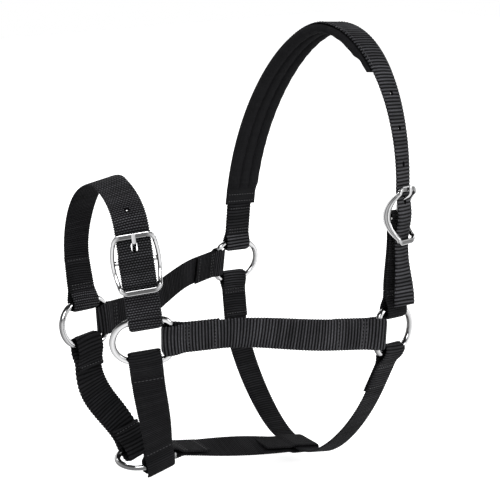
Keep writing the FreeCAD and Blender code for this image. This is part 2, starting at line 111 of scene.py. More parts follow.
BILLET_CROWN = 2.4
TONGUE_WIDTH = 3.2
TONGUE_THICK = 2.0
TONGUE_GAP = 0.15
HOLE_AT = 12.4
TONGUE_CROSS = 13.0
TONGUE_SLOPE = 58.0
TONGUE_LOW = 1.6
TONGUE_REST = 0.3
TONGUE_TIP = 2.6
HOLE_PITCH = 28.6
HOLE_WIDTH = 4.8
HOLE_STRETCH = 2.6
NOSE_CHAPE = 46.6
CROWN_CHAPE = 76.6
CROWN_TWIST = -12.0
CHAPE_RUN = 17.0
TAIL_SHORT = 4.0
NOSE_TAIL = 5.7
CROWN_TAIL = 8.5
PAD_WIDTH = 31.0
PAD_THICK = 7.0
PAD_END_THICK = 2.6
PAD_BAND = 11.0
PAD_RAMP = 12.0
PAD_CROWN = 1.7
PAD_GAP = 0.3
PAD_START = 0.5
PAD_STOP = 294.0
NEAR_CHIN_RISE = 73.0
FAR_CHIN_RISE = 55.0
NEAR_CHIN_LEAN = -4.0
FAR_CHIN_LEAN = -2.0
CHIN_SKEW_LOW = 11.0
CHIN_SKEW_HIGH = 6.0
THROAT_LEAVE_NEAR = -22.0
THROAT_LEAVE_FAR = -18.0
THROAT_SLOPE = -16.0
THROAT_FLAT = 13.5
THROAT_REACH = 36.0
THROAT_LOW_REACH = 28.0
JAW_BACK = 34.0
JAW_REACH = 30.0
JAW_SHUT = 5.0
CROWN_REACH_FAR = 95.0
CROWN_REACH_APEX = 48.0
CROWN_REACH_NEAR = 66.0
NOSE_REACH_FAR = 40.0
NOSE_REACH_APEX = 19.0
NOSE_REACH_NEAR = 16.0

# Where a sewn loop folds round its ring, and how far its stitches stand off the webbing's middle
FOLD_AT = -(WIRE / 2 + SLACK + STRAP_THICK / 2)
SEWN_FACE = STRAP_THICK - 0.12
# Length of a sewn end that lies turned back, inner face out
TUCKED = 30


def vec(*c):
    return np.array(c, float)


X, Y, Z = vec(1, 0, 0), vec(0, 1, 0), vec(0, 0, 1)
# Where the frame's origin, on the poll, lies in the lengths below
POLL = vec(117, -6, 217.7)


def unit(v):
    return v / np.linalg.norm(v)


def turned(first, second, degrees):
    a = math.radians(degrees)
    return first * math.cos(a) + second * math.sin(a)


class Frame:
    def __init__(self, origin, u, v, n, shift=0.0):
        self.o, self.u, self.v, self.n, self.shift = origin, u, v, n, shift

    def at(self, u=0.0, v=0.0, n=0.0):
        return self.o + self.u * u + self.v * v + self.n * n


def side_ring(middle, turn, side, faces_back, shift=STRAP_SHIFT):
    yaw, lean, pitch = turn
    along = turned(X, Y, yaw)
    level = unit(Y * side - along * along[1] * side)
    up = turned(Z, level, -lean)
    out = turned(level, Z, lean)
    along, up = turned(along, up, pitch), turned(up, along, -pitch)
    return Frame(middle, along if faces_back else -along, up, out, shift)


def bar_of(ring, bar):
    if bar == "middle":
        return ring.at(u=RING_H), ring.u
    side = 1 if bar == "top" else -1
    return ring.at(u=-ring.shift, v=side * RING_H), ring.v * side


def strap_end(ring, bar, leave=None, aim=None, skew=0.0):
    centre, run = bar_of(ring, bar)
    if aim is not None:
        t = aim - centre
        leave = math.degrees(math.atan2(t @ ring.n, t @ run))
    u = turned(run, ring.n, leave)
    n = turned(ring.n, run, -leave)
    v = np.cross(n, u)
    return Frame(centre, turned(u, v, skew), turned(v, u, -skew), n)


near_nose = side_ring(vec(-95, -43, 8), (-26, -8, 0), -1, True)
far_nose = side_ring(vec(-98.4, 43, -3), (12, -10, -6), 1, True, FAR_NOSE_SHIFT)
near_cheek = side_ring(vec(95, -108, -9), (10, 4, -8), -1, False)
far_cheek = side_ring(vec(95, 108, -6), (-2, 3, -5), 1, False)
chin = Frame(vec(-71.5, 0, -113), X, -Y, -Z, CHIN_SHIFT)
nose_near = strap_end(near_nose, "top", -12, None, 6)
nose_far = strap_end(far_nose, "top", 8)
crown_near = strap_end(near_cheek, "top", -3)
crown_far = strap_end(far_cheek, "top", 3)
nose_b = Frame(nose_near.at(u=NOSE_CHAPE), nose_near.u, nose_near.v, nose_near.n)
crown_b = Frame(
    crown_near.at(u=CROWN_CHAPE), crown_near.u,
    turned(crown_near.v, crown_near.n, -CROWN_TWIST), turned(crown_near.n, crown_near.v, CROWN_TWIST),
)


class Knot:
    """A point on a strap's inner face, with its direction and outward normal."""

    def __init__(self, point, tangent, normal, reach_in=0.0, reach_out=0.0):
        self.p, self.t = point, unit(tangent)
        self.w = unit(np.cross(normal, self.t))
        self.i, self.o = reach_in, reach_out


def end_knot(end, run, reach, leaving):
    return Knot(end.at(u=run), end.u if leaving else -end.u, end.n, reach, reach)


def span(a, b, count=60):
    """Points and width directions along the curve between two knots, on the strap's inner face."""
    q = np.linspace(0, 1, count)[:, None]
    r = 1 - q
    p1, p2 = a.p + a.t * a.o, b.p - b.t * b.i
    place = a.p * r**3 + p1 * 3 * q * r * r + p2 * 3 * q * q * r + b.p * q**3
    ahead = (p1 - a.p) * r * r + (p2 - p1) * 2 * q * r + (b.p - p2) * q * q
    ahead /= np.linalg.norm(ahead, axis=1)[:, None]
    ease = q * q * (3 - 2 * q)
    w = a.w * (1 - ease) + b.w * ease
    w -= ahead * np.sum(ahead * w, 1)[:, None]
    w /= np.linalg.norm(w, axis=1)[:, None]
    return place, w, np.cross(ahead, w)


def middle_of(knots, lift=STRAP_THICK / 2):
    """The strap's middle surface from knot to knot."""
    pts, ws = [], []
    for a, b in zip(knots, knots[1:]):
        place, w, n = span(a, b)
        pts.append(place + n * lift)
        ws.append(w)
    return np.concatenate(pts), np.concatenate(ws)


def loop_line(end, h, fold, straight, close, run, back, arriving=False):
    """Middle line of the webbing round a bar, from the cut end of the turn-back to run, or the other way."""
    t = STRAP_THICK / 2
    r = h + t
    mid = fold - h
    us, ns = [back], [-t]
    for u in np.linspace(back, close + 3, 6)[1:]:
        us.append(u)
        ns.append(-t)
    for q in np.linspace(0, 1, 9)[1:]:
        us.append(close + 3 + (straight - close - 4) * q)
        ns.append(-(t + (r - t) * (q * q * (3 - 2 * q))))
    for a in np.linspace(-90, -270, 17):
        us.append(-mid + r * math.cos(math.radians(a)))
        ns.append(r * math.sin(math.radians(a)))
    for q in np.linspace(1, 0, 9)[1:]:
        us.append(close + 3 + (straight - close - 4) * q)
        ns.append(t + (r - t) * (q * q * (3 - 2 * q)))
    for u in np.linspace(close + 3, run, 5)[1:]:
        us.append(u)
        ns.append(t)
    pts = np.array([end.at(u=u, n=n) for u, n in zip(us, ns)])
    # Along the path the width direction keeps its side of the webbing
    w = np.repeat(end.v[None], len(pts), 0)
    if arriving:
        return pts[::-1], -w
    return pts, w


def bar_loop(end, bar, slack, run, back, arriving):
    return loop_line(end, bar / 2 + SIDE_GAP, bar / 2 + slack, STRAIGHT, CLOSE, run, back, arriving)


class Path:
    """A strap's middle line at even steps, with its own directions."""

    def __init__(self, parts, step):
        pts = np.concatenate([p for p, w in parts])
        ws = np.concatenate([w for p, w in parts])
        gap = np.linalg.norm(np.diff(pts, axis=0), axis=1)
        keep = np.concatenate([[True], gap > 0.02])
        pts, ws = pts[keep], ws[keep]
        s = np.concatenate([[0], np.cumsum(np.linalg.norm(np.diff(pts, axis=0), axis=1))])
        self.length = s[-1]
        count = int(round(self.length / step)) + 1
        self.s = np.linspace(0, self.length, count)
        p = np.stack([np.interp(self.s, s, pts[:, k]) for k in range(3)], 1)
        w = np.stack([np.interp(self.s, s, ws[:, k]) for k in range(3)], 1)
        k = max(3, int(1.2 / step) | 1)
        for _ in range(2):
            pad = k // 2
            kernel = np.ones(k) / k
            before = 2 * p[:1] - p[pad:0:-1]
            after = 2 * p[-1:] - p[-2:-pad - 2:-1]
            ext = np.concatenate([before, p, after])
            p = np.stack([np.convolve(ext[:, c], kernel, "valid") for c in range(3)], 1)
        self.settle(p, w)

    def settle(self, p, w):
        u = np.gradient(p, axis=0)
        u /= np.linalg.norm(u, axis=1)[:, None]
        w = w - u * np.sum(u * w, 1)[:, None]
        w /= np.linalg.norm(w, axis=1)[:, None]
        self.p, self.u, self.v, self.n = p, u, w, np.cross(u, w)

    def nudge(self, start, stop, move=(0, 0, 0), roll=0.0):
        """Moves and rolls the stretch between two lengths, by the most half way along it."""
        ease = np.sin(np.pi * np.clip((self.s - start) / (stop - start), 0, 1)) ** 2
        a = np.radians(roll) * ease[:, None]
        self.settle(self.p + ease[:, None] * np.array(move, float), self.v * np.cos(a) + self.n * np.sin(a))

    def at(self, s, v=0.0, n=0.0):
        s = np.asarray(s, float)
        get = lambda a: np.stack([np.interp(s, self.s, a[:, k]) for k in range(3)], -1)
        return get(self.p) + get(self.v) * np.asarray(v)[..., None] + get(self.n) * np.asarray(n)[..., None]

    def nearest(self, point):
        return self.s[np.argmin(np.linalg.norm(self.p - point, axis=1))]


def mesh_object(name, verts, faces, material, uv=None, smooth=True):
    me = bpy.data.meshes.new(name)
    places = (np.asarray(verts) - POLL) * 0.001
    me.from_pydata(places.tolist(), [], [tuple(int(i) for i in f) for f in faces])
    if smooth:
        me.polygons.foreach_set("use_smooth", [True] * len(me.polygons))
    if uv is not None:
        layer = me.uv_layers.new(name="UVMap")
        loops = np.zeros(len(me.loops), int)
        me.loops.foreach_get("vertex_index", loops)
        layer.data.foreach_set("uv", np.asarray(uv, float)[loops].ravel())
    me.update()
    ob = bpy.data.objects.new(name, me)
    bpy.context.scene.collection.objects.link(ob)
    me.materials.append(material)
    return ob


PITCH = 2.35
STEP = PITCH / 6
COLS = 18


def webbing(name, path, weave, seed, width=STRAP_WIDTH, corners=(), tucked=(TUCKED, 0)):
    """Ribbed webbing along a path, with scalloped edges. corners lists path lengths of folds to draw in.
    tucked gives the lengths at the two ends that lie turned back, inner face out."""
    material, pitch, grain, ribs, scallops = weave
    s = path.s
    rows = len(s)
    a, b, c, d = np.random.default_rng(seed).uniform(0, 6.28, 4)
    bow = 0.5 * np.sin(s / 43 + a) + 0.3 * np.sin(s / 17 + b)
    slant = 0.5 * np.sin(s / 61 + c)
    half = width / 2 - 0.1
    pull = np.zeros(rows)
    for at in corners:
        pull += FOLD_CORNER * 0.75 * np.clip(1 - np.abs(s - at) / (FOLD_CORNER * 1.3), 0, 1) ** 1.4
    wander = 0.18 * np.sin(s / 29 + d) + 0.1 * np.sin(s / 11 + a)
    k = np.linspace(-1, 1, COLS)
    flat = [(x * (0.985 if abs(x) > 0.999 else 1.0), 1.0) for x in k]
    # Rounded edges: one more point beyond each edge
    ring = flat + [(1.03, 0.0)] + [(x, -1.0) for x, _ in flat[::-1]] + [(-1.03, 0.0)]
    m = len(ring)
    out = np.zeros((rows, m, 3))
    uvs = np.zeros((rows, m, 2))
    for j, (x, side) in enumerate(ring):
        se = s + bow * x * x + slant * x
        rib = np.abs(np.sin(np.pi * se / pitch)) ** 0.8
        scallop = scallops * (np.abs(np.sin(np.pi * se / pitch)) ** 1.3 - 0.5) * (abs(x) ** 12)
        v = np.sign(x) * (abs(x) * (half - pull) + scallop) + wander * 0.3
        t = STRAP_THICK / 2 - 0.36 * ribs * (1 - rib) - 0.05
        t = t * (1 - 0.35 * abs(min(abs(x), 1)) ** 14)
        n = side * t
        out[:, j] = path.p + path.v * v[:, None] + path.n * n[:, None]
        uvs[:, j, 0] = se / pitch
        uvs[:, j, 1] = x * width / 2 / grain
    idx = np.arange(rows * m).reshape(rows, m)
    nxt = np.roll(idx, -1, 1)
    quads = np.stack([idx[:-1], idx[1:], nxt[1:], nxt[:-1]], -1).reshape(-1, 4)
    faces = quads.tolist() + [idx[0].tolist(), idx[-1][::-1].tolist()]
    ob = mesh_object(name, out.reshape(-1, 3), faces, material, uvs.reshape(-1, 2))
    ob.data.materials.append(web_back)
    behind = (np.arange(m) >= COLS + 1) & (np.arange(m) < m - 1)
    turned_in = (s[:-1] < tucked[0]) | (s[:-1] > path.length - tucked[1])
    backs = (behind[None] | turned_in[:, None]).astype(np.int32).ravel()
    ob.data.polygons.foreach_set("material_index", np.concatenate([backs, [0, 0]]).astype(np.int32))
    return ob


def tube(name, line, radius, material, closed=True, segments=24, flat=None, normal=None):
    """A round or oval bar along a line. flat is the oval's half height along normal."""
    line = np.asarray(line, float)
    if closed:
        t = np.roll(line, -1, 0) - np.roll(line, 1, 0)
    else:
        t = np.gradient(line, axis=0)
    t /= np.linalg.norm(t, axis=1)[:, None]
    n = np.repeat(np.asarray(normal, float)[None], len(line), 0)
    n -= t * np.sum(t * n, 1)[:, None]
    n /= np.linalg.norm(n, axis=1)[:, None]
    b = np.cross(t, n)
    radius = np.broadcast_to(np.asarray(radius, float), len(line))
    flat = radius if flat is None else np.broadcast_to(np.asarray(flat, float), len(line))
    ang = np.linspace(0, 2 * np.pi, segments, endpoint=False)
    ring = (
        b[:, None] * (np.cos(ang)[None, :, None] * radius[:, None, None])
        + n[:, None] * (np.sin(ang)[None, :, None] * flat[:, None, None])
    )
    verts = (line[:, None] + ring)
    rows = len(line)
    idx = np.arange(rows * segments).reshape(rows, segments)
    nxt = np.roll(idx, -1, 1)
    if closed:
        a, c = idx, np.roll(idx, -1, 0)
        an, cn = nxt, np.roll(nxt, -1, 0)
    else:
        a, c, an, cn = idx[:-1], idx[1:], nxt[:-1], nxt[1:]
    faces = np.stack([a, an, cn, c], -1).reshape(-1, 4).tolist()
    if not closed:
        faces += [idx[0][::-1].tolist(), idx[-1].tolist()]
    # Around coordinate for the metal's painted highlight and painted shade: 0 on the faces along normal, 1 at
    # the edges
    uv = np.stack([np.zeros((rows, segments)), np.repeat(np.abs(np.cos(ang))[None], rows, 0)], -1)
    return mesh_object(name, verts.reshape(-1, 3), faces, material, uv.reshape(-1, 2))


def sweep(
    name, line, across, out, half_wide, half_tall, material,
    power=0.55, groove=0.0, closed=True, count=40, tag=0.0,
):
    """A bar with a rounded oblong section along a line. across and out give the section's directions."""
    line = np.asarray(line, float)
    t = np.roll(line, -1, 0) - np.roll(line, 1, 0) if closed else np.gradient(line, axis=0)
    t /= np.linalg.norm(t, axis=1)[:, None]
    n = np.array(out, float)
    n -= t * np.sum(t * n, 1)[:, None]
    n /= np.linalg.norm(n, axis=1)[:, None]
    b = np.cross(n, t)
    flip = np.sign(np.sum(b * across, 1))[:, None]
    b *= flip
    ang = np.linspace(0, 2 * np.pi, count, endpoint=False)
    c, d = np.cos(ang), np.sin(ang)
    x = np.sign(c) * np.abs(c) ** power
    y = np.sign(d) * np.abs(d) ** power
    half_wide = np.broadcast_to(np.asarray(half_wide, float), len(line))[:, None]
    half_tall = np.broadcast_to(np.asarray(half_tall, float), len(line))[:, None]
    dent = np.broadcast_to(np.asarray(groove, float), len(line))[:, None]
    dip = dent * np.where(c > 0.2, 0.5 - 0.5 * np.cos(np.clip((y + 0.8) / 1.6, 0, 1) * 4 * np.pi), 0)[None]
    wide = half_wide * x[None] - dip
    verts = line[:, None] + b[:, None] * wide[..., None] + n[:, None] * (half_tall * y[None])[..., None]
    rows = len(line)
    idx = np.arange(rows * count).reshape(rows, count)
    nxt = np.roll(idx, -1, 1)
    if closed:
        quads = np.stack([idx, nxt, np.roll(nxt, -1, 0), np.roll(idx, -1, 0)], -1)
    else:
        quads = np.stack([idx[:-1], nxt[:-1], nxt[1:], idx[1:]], -1)
    faces = quads.reshape(-1, 4).tolist()
    if not closed:
        faces += [idx[0][::-1].tolist(), idx[-1].tolist()]
    # From 0 on the outer side to 1 on the inner side, and below 0 round the back
    turn = np.minimum(ang, 2 * np.pi - ang) / np.pi * np.where(ang > np.pi, -1, 1)
    kind = np.repeat(np.broadcast_to(tag, rows)[:, None], count, 1)
    # The metal materials read their painted highlight and painted shade bands from this around coordinate
    uv = np.stack([kind, np.repeat(turn[None], rows, 0)], -1)
    ob = mesh_object(name, verts.reshape(-1, 3), faces, material, uv.reshape(-1, 2))
    fix_normals(ob)
    return ob


def fix_normals(ob):
    bm = bmesh.new()
    bm.from_mesh(ob.data)
    bmesh.ops.recalc_face_normals(bm, faces=bm.faces)
    bm.to_mesh(ob.data)
    bm.free()


def merged(name, objects):
    """One object from several."""
    for ob in bpy.context.view_layer.objects:
        ob.select_set(False)
    for ob in objects:
        ob.select_set(True)
    bpy.context.view_layer.objects.active = objects[0]
    bpy.ops.object.join()
    objects[0].name = name
    return objects[0]


def buckle(name, b):
    """Cast buckle: flat end bars, broad channelled arms that dip back and bow out, and a centre bar."""
    width = STRAP_WIDTH / 2 + BUCKLE_GAP + BUCKLE_ARM_WIDTH / 2
    top = HALF_LENGTH
    c = BUCKLE_CORNER - BUCKLE_ARM_WIDTH / 2
    flat = [(top, x) for x in np.linspace(c - width, width - c, 24)]
    quarter = np.linspace(0, math.pi / 2, 18)
    arm = np.linspace(top - c, c - top, 50)[1:-1]
    flat += [(top - c + c * math.cos(t), width - c + c * math.sin(t)) for t in quarter[1:]]
    flat += [(x, width + BUCKLE_BOW * (1 - (x / (top - c)) ** 2)) for x in arm]
    flat += [(c - top - c * math.sin(t), width - c + c * math.cos(t)) for t in quarter]
    flat += [(-top, x) for x in np.linspace(width - c, c - width, 24)[1:]]
    flat += [(-u, -v) for u, v in flat[24:-23]]
    u, v = np.array(flat).T
    shoulder = top - BUCKLE_BAR_HEIGHT / 2 - 1.2
    q = np.clip(np.abs(u) / shoulder, 0, 1)
    mean = DEPTH * (1 - (1 - q * q) ** 0.95)
    arm = np.clip((np.abs(v) - (width - c)) / c, 0, 1)
    broad = BUCKLE_BAR_THICK / 2 + (BUCKLE_ARM_DEPTH - BUCKLE_BAR_THICK) / 2 * (1 - q**1.6)
    inplane = BUCKLE_BAR_HEIGHT / 2 * (1 - arm) + BUCKLE_ARM_WIDTH / 2 * arm
    line = np.array([b.at(x, y, z) for x, y, z in zip(u, v, mean)])
    away = np.array([b.u * x + b.v * y for x, y in zip(u / top, v / width)])
    out = np.repeat(b.n[None], len(line), 0)
    body = sweep(name, line, away, out, inplane, broad, cast_metal, 0.6, 0.5 * arm, tag=arm)
    bar = sweep(
        "bar", [b.at(0, x) for x in np.linspace(-width - 1.4, width + 1.4, 16)], np.repeat(b.u[None], 16, 0),
        np.repeat(b.n[None], 16, 0), BAR / 2, BAR / 2, chrome, 1.0, 0.0, False,
    )
    return merged(name, [body, bar])


def tongue(name, b):
    """A tongue bent round the centre bar, up through its hole and on to the end bar."""
    r = BAR / 2 + TONGUE_GAP + TONGUE_THICK / 2
    level = DEPTH + BUCKLE_BAR_THICK / 2 + TONGUE_REST + TONGUE_THICK / 2
    slope = math.tan(math.radians(TONGUE_SLOPE))
    cross = BILLET_LIFT + BILLET_CROWN / 2 + STRAP_THICK / 2
    foot = TONGUE_CROSS - (cross - TONGUE_LOW) / slope
    head = TONGUE_CROSS + (level - cross) / slope
    pts = [(r * math.cos(t), r * math.sin(t)) for t in np.linspace(math.radians(-25), math.radians(-322), 36)]
    turn = 2.2
    pts += [(x, TONGUE_LOW) for x in np.linspace(r + 0.6, foot - turn, 6)]
    for (ax, ay), (bx, by), (cx, cy) in (
        ((foot - turn, TONGUE_LOW), (foot, TONGUE_LOW), (foot + turn / slope * 1.2, TONGUE_LOW + turn * 1.2)),
        ((head - turn / slope * 1.2, level - turn * 1.2), (head, level), (head + turn, level)),
    ):
        for t in np.linspace(0, 1, 9)[1:]:
            s = 1 - t
            pts.append((ax * s * s + 2 * bx * s * t + cx * t * t, ay * s * s + 2 * by * s * t + cy * t * t))
    tip = HALF_LENGTH + TONGUE_TIP
    pts += [(x, level) for x in np.linspace(head + turn, tip, 8)[1:]]
    u, w = np.array(pts).T
    line = np.array([b.at(x, 0, y) for x, y in pts])
    d = np.gradient(np.array(pts), axis=0)
    d /= np.linalg.norm(d, axis=1)[:, None]
    up = np.array([-b.u * y + b.n * x for x, y in d])
    across = np.repeat(b.v[None], len(line), 0)
    near_tip = np.clip((u - (tip - 3)) / 3, 0, 1) * (w > 5)
    wide = TONGUE_WIDTH / 2 * (1 - 0.45 * near_tip**2)
    tall = TONGUE_THICK / 2 * (1 - 0.5 * near_tip**2)
    return sweep(name, line, across, up, wide, tall, chrome, 0.7, 0.0, False, 28)


def arc(centre, a, b, radius, start, stop, count):
    return [centre + radius * (a * math.cos(t) + b * math.sin(t)) for t in np.linspace(start, stop, count)]


def ring_line(r):
    """Centreline of a ring: three straight bars, two corners and a round side."""
    h, c, u, v = RING_H, RING_C, r.u, r.v
    pts = []
    pts += arc(r.at(h - c, h - c), u, v, c, 0, math.pi / 2, 16)
    pts += [r.at(x, h) for x in np.linspace(h - c, -RING_ROUND, 12)[1:-1]]
    pts += arc(r.at(-RING_ROUND), v, -u, h, 0, math.pi, 60)
    pts += [r.at(x, -h) for x in np.linspace(-RING_ROUND, h - c, 12)[1:-1]]
    pts += arc(r.at(h - c, c - h), -v, u, c, 0, math.pi / 2, 16)
    pts += [r.at(h, x) for x in np.linspace(c - h, h - c, 12)[1:-1]]
    return pts


# Materials
def nodes_of(name):
    m = bpy.data.materials.new(name)
    m.use_nodes = True
    nt = m.node_tree
    return m, nt, nt.nodes["Principled BSDF"]


def link(nt, a, b):
    nt.links.new(a, b)


def math_node(nt, op, a, b=None, clamp=False):
    n = nt.nodes.new("ShaderNodeMath")
    n.operation = op
    n.use_clamp = clamp
    for i, x in enumerate((a, b)):
        if x is None:
            continue
        if isinstance(x, (int, float)):
            n.inputs[i].default_value = x
        else:
            link(nt, x, n.inputs[i])
    return n.outputs[0]


def ramp(nt, fac, stops):
    n = nt.nodes.new("ShaderNodeValToRGB")
    e = n.color_ramp.elements
    while len(e) < len(stops):
        e.new(0.5)
    for el, (pos, col) in zip(e, stops):
        el.position = pos
        el.color = (*col, 1)
    link(nt, fac, n.inputs[0])
    return n.outputs[0]


def webbing_material(name, painted_shade_valley, painted_highlight_crest, lump=0.35, power=1.6, rough=0.6):
    """Woven cloth: ribs along the first coordinate, each rib a row of threads along the second."""
    m, nt, bsdf = nodes_of(name)
    tc = nt.nodes.new("ShaderNodeUVMap")
    tc.uv_map = "UVMap"
    sep = nt.nodes.new("ShaderNodeSeparateXYZ")
    link(nt, tc.outputs[0], sep.inputs[0])
    x, y = sep.outputs[0], sep.outputs[1]
    row = math_node(nt, "FLOOR", x)
    fx = math_node(nt, "FRACT", x)
    rib = math_node(nt, "SINE", math_node(nt, "MULTIPLY", fx, math.pi))
    col = math_node(nt, "ADD", y, math_node(nt, "MULTIPLY", row, 0.5))
    lumps = math_node(nt, "ABSOLUTE", math_node(nt, "SINE", math_node(nt, "MULTIPLY", col, math.pi)))
    per_row = nt.nodes.new("ShaderNodeTexWhiteNoise")
    per_row.noise_dimensions = "1D"
    link(nt, row, per_row.inputs["W"])
    geo = nt.nodes.new("ShaderNodeTexCoord")
    fuzz = nt.nodes.new("ShaderNodeTexNoise")
    fuzz.inputs["Scale"].default_value = 1300
    fuzz.inputs["Detail"].default_value = 3
    link(nt, geo.outputs["Object"], fuzz.inputs["Vector"])
    patches = nt.nodes.new("ShaderNodeTexNoise")
    patches.inputs["Scale"].default_value = 45
    patches.inputs["Detail"].default_value = 3
    link(nt, geo.outputs["Object"], patches.inputs["Vector"])
    threads = math_node(nt, "ADD", math_node(nt, "MULTIPLY", lumps, lump), 1 - lump)
    height = math_node(nt, "MULTIPLY", rib, threads)
    worn = math_node(nt, "ADD", math_node(nt, "MULTIPLY", patches.outputs[0], 0.9), 0.3)
    uneven = math_node(nt, "ADD", math_node(nt, "MULTIPLY", per_row.outputs["Value"], 0.5), 0.7)
    grain = math_node(nt, "ADD", math_node(nt, "MULTIPLY", fuzz.outputs[0], 0.9), 0.5)
    shade = math_node(nt, "POWER", height, power)
    for part in (worn, uneven, grain):
        shade = math_node(nt, "MULTIPLY", shade, part)
    # Base colour runs from the valley colour to the crest colour with rib and thread height: painted shade in
    # the gaps between ribs, painted highlights on rib and thread tops
    link(nt, ramp(nt, shade, [(0.0, painted_shade_valley), (1.0, painted_highlight_crest)]), bsdf.inputs["Base Color"])
    bump = nt.nodes.new("ShaderNodeBump")
    bump.inputs["Strength"].default_value = 0.8
    bump.inputs["Distance"].default_value = 0.0004
    fuzzy = math_node(nt, "ADD", height, math_node(nt, "MULTIPLY", fuzz.outputs[0], 0.3))
    link(nt, fuzzy, bump.inputs["Height"])
    link(nt, bump.outputs[0], bsdf.inputs["Normal"])
    bsdf.inputs["Roughness"].default_value = rough
    bsdf.inputs["Specular IOR Level"].default_value = 0.03
    return m


def metal_material(name, rough, painted_light_bands, arm_painted_light_bands=None):
    """Polished plate. The bands give its base colour round the section as painted light: painted highlights
    on the ridges and painted shade in the hollows.
    """
    m, nt, bsdf = nodes_of(name)
    geo = nt.nodes.new("ShaderNodeTexCoord")
    waves = nt.nodes.new("ShaderNodeTexNoise")
    waves.inputs["Scale"].default_value = 90
    waves.inputs["Detail"].default_value = 2
    link(nt, geo.outputs["Object"], waves.inputs["Vector"])
    scratch = nt.nodes.new("ShaderNodeTexNoise")
    scratch.inputs["Scale"].default_value = 700
    scratch.inputs["Detail"].default_value = 3
    link(nt, geo.outputs["Object"], scratch.inputs["Vector"])
    place = nt.nodes.new("ShaderNodeUVMap")
    place.uv_map = "UVMap"
    sep = nt.nodes.new("ShaderNodeSeparateXYZ")
    link(nt, place.outputs[0], sep.inputs[0])
    wobble = math_node(nt, "MULTIPLY", math_node(nt, "SUBTRACT", waves.outputs[0], 0.5), 0.08)
    turn = math_node(nt, "ADD", math_node(nt, "ABSOLUTE", sep.outputs[1]), wobble)
    # Painted highlight and painted shade in the base colour, set by place round the section
    painted_light_and_shade = ramp(nt, turn, [(k, (g, g, g * 1.01)) for k, g in painted_light_bands])
    if arm_painted_light_bands:
        arm = ramp(nt, turn, [(k, (g, g, g * 1.01)) for k, g in arm_painted_light_bands])
        blend = nt.nodes.new("ShaderNodeMix")
        blend.data_type = "RGBA"
        link(nt, sep.outputs[0], blend.inputs[0])
        link(nt, painted_light_and_shade, blend.inputs[6])
        link(nt, arm, blend.inputs[7])
        painted_light_and_shade = blend.outputs[2]
    link(nt, painted_light_and_shade, bsdf.inputs["Base Color"])
    rr = math_node(nt, "ADD", math_node(nt, "MULTIPLY", scratch.outputs[0], 0.1), rough)
    link(nt, rr, bsdf.inputs["Roughness"])
    bump = nt.nodes.new("ShaderNodeBump")
    bump.inputs["Strength"].default_value = 0.15
    bump.inputs["Distance"].default_value = 0.0003
    link(nt, waves.outputs[0], bump.inputs["Height"])
    link(nt, bump.outputs[0], bsdf.inputs["Normal"])
    bsdf.inputs["Metallic"].default_value = 1.0
    return m


def grey(level):
    """A nearly neutral black, very slightly blue."""
    return (level, level, level * 1.09)


# Each webbing's valley colour is painted shade and its crest colour a painted highlight; the materials differ
# mostly in how bright that painted highlight is
web_bright = webbing_material("webbing_bright", grey(0.001), grey(0.115), 0.4, 2.4)
web_dull = webbing_material("webbing_dull", grey(0.0015), grey(0.05), 0.35, 1.8)
web_smooth = webbing_material("webbing_smooth", grey(0.003), grey(0.024), 0.5, 1.0)
web_checked = webbing_material("webbing_checked", grey(0.001), grey(0.1), 0.6, 2.2)
web_back = webbing_material("webbing_back", grey(0.002), grey(0.026), 0.5, 1.2)
pad_cloth = webbing_material("pad_cloth", grey(0.008), grey(0.018), 0.4, 0.8, 0.75)
thread, _, tb = nodes_of("thread")
tb.inputs["Base Color"].default_value = (*grey(0.03), 1)
tb.inputs["Roughness"].default_value = 0.5
# Rings, bars and tongues: base colour from 0.92 at around coordinate 0 to 0.16 at 1, a painted highlight on
# one part of each section and painted shade on the rest
chrome = metal_material("chrome", 0.06, [(0.0, 0.92), (0.35, 0.72), (0.7, 0.5), (0.92, 0.22), (1.0, 0.16)])
# Buckle frames: stripes round each section, painted highlights on the ridges and painted shade in the
# channels; the second list is for the arms
cast_metal = metal_material(
    "cast_metal", 0.1,
    [(0.0, 0.5), (0.1, 0.85), (0.28, 0.85), (0.36, 0.16), (0.62, 0.11), (0.7, 0.5), (0.78, 0.3), (0.9, 0.06)],
    [
        (0.0, 0.5), (0.07, 0.1), (0.14, 0.9), (0.27, 0.85), (0.33, 0.07),
        (0.42, 0.85), (0.55, 0.8), (0.62, 0.06), (0.72, 0.7), (0.85, 0.1),
    ],
)

# Each weave: material, rib pitch, thread pitch, rib height, how far the edges are scalloped
BOLD = (web_bright, 2.5, 1.1, 1.0, 0.3)
PLAIN = (web_dull, 2.35, 1.05, 1.0, 0.3)
BROAD = (web_dull, 3.1, 1.2, 1.2, 0.4)
QUIET = (web_smooth, 1.9, 0.95, 0.5, 0.35)
CHECKED = (web_checked, 1.9, 2.2, 0.9, 0.55)
TOP = (web_bright, 2.9, 1.2, 1.0, 0.35)


def chin_ends(bar, rise, nose, lean, side):
    low = strap_end(chin, bar, -rise, None, -side * CHIN_SKEW_LOW)
    return low, strap_end(nose, "bottom", lean, None, -side * CHIN_SKEW_HIGH)


near_chin_ends = chin_ends("top", NEAR_CHIN_RISE, near_nose, NEAR_CHIN_LEAN, -1)
far_chin_ends = chin_ends("bottom", FAR_CHIN_RISE, far_nose, FAR_CHIN_LEAN, 1)


